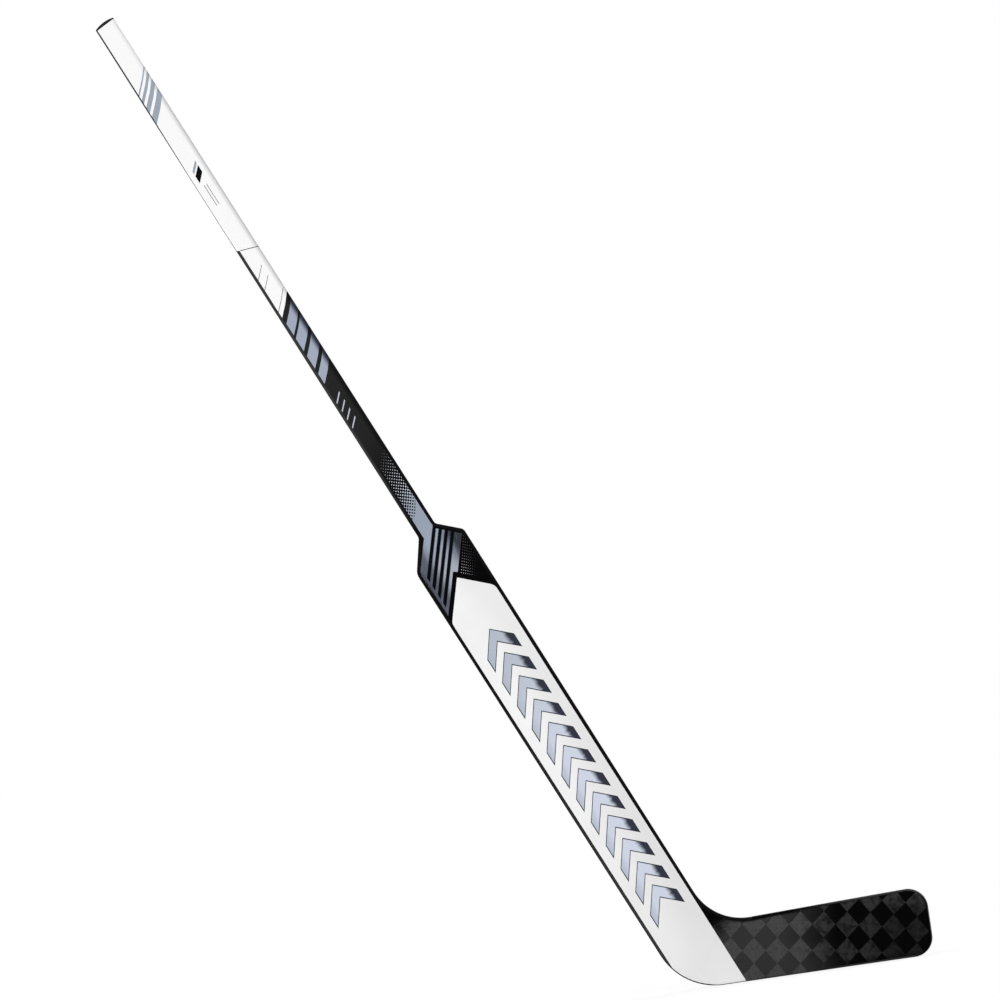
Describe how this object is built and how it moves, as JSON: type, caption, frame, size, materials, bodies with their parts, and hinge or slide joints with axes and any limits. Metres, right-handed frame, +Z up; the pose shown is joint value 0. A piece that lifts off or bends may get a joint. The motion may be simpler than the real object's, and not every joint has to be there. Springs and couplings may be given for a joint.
{
  "type": "hockey goalie stick",
  "caption": "Composite hockey goalie stick: hollow rectangular shaft with end plug, sloping shoulder with grip ribs, wide sandwich paddle with rails, and a curved carbon-weave blade.",
  "frame": {"origin": "Middle of the flat of the blade's sole, on the ice, in the mid-plane of the paddle.", "axes": "+Z is up from the ice, +X points along the sole to the toe, -Y is the front (concave) face; the shaft leans towards -X at its lie angle."},
  "size_m": [0.936, 0.0365, 1.4044],
  "materials": {
    "painted_carbon_shaft": "gloss clear coat over paint",
    "black_plastic_plug": "satin",
    "inner_carbon": "bare laminate",
    "painted_paddle_skin": "gloss clear coat over paint",
    "painted_shoulder_skin": "gloss clear coat over silver-blue paint",
    "black_rail": "gloss",
    "foam_core": "closed-cell foam",
    "rubber_grip_ribs": "matt",
    "woven_carbon_blade": "gloss over spread-tow weave"
  },
  "bodies": {
    "root": {"shaft_tube": "painted_carbon_shaft", "butt_end_plug": "black_plastic_plug", "shaft_tenon": "inner_carbon", "shoulder_front_skin": "painted_shoulder_skin", "shoulder_back_skin": "painted_shoulder_skin", "paddle_front_skin": "painted_paddle_skin", "paddle_back_skin": "painted_paddle_skin", "paddle_heel_side_rail": "black_rail", "paddle_toe_side_rail": "black_rail", "paddle_heel_side_foam": "foam_core", "paddle_toe_side_foam": "foam_core", "paddle_spar": "inner_carbon", "heel_block": "foam_core", "shoulder_front_ribs": "rubber_grip_ribs", "shoulder_back_ribs": "rubber_grip_ribs", "blade_front_skin": "woven_carbon_blade", "blade_back_skin": "woven_carbon_blade", "blade_upper_core": "foam_core", "blade_lower_core": "foam_core", "blade_bridge": "inner_carbon", "blade_sole_strip": "woven_carbon_blade", "blade_top_edge": "woven_carbon_blade", "blade_toe_cap": "woven_carbon_blade"}
  },
  "joints": []
}
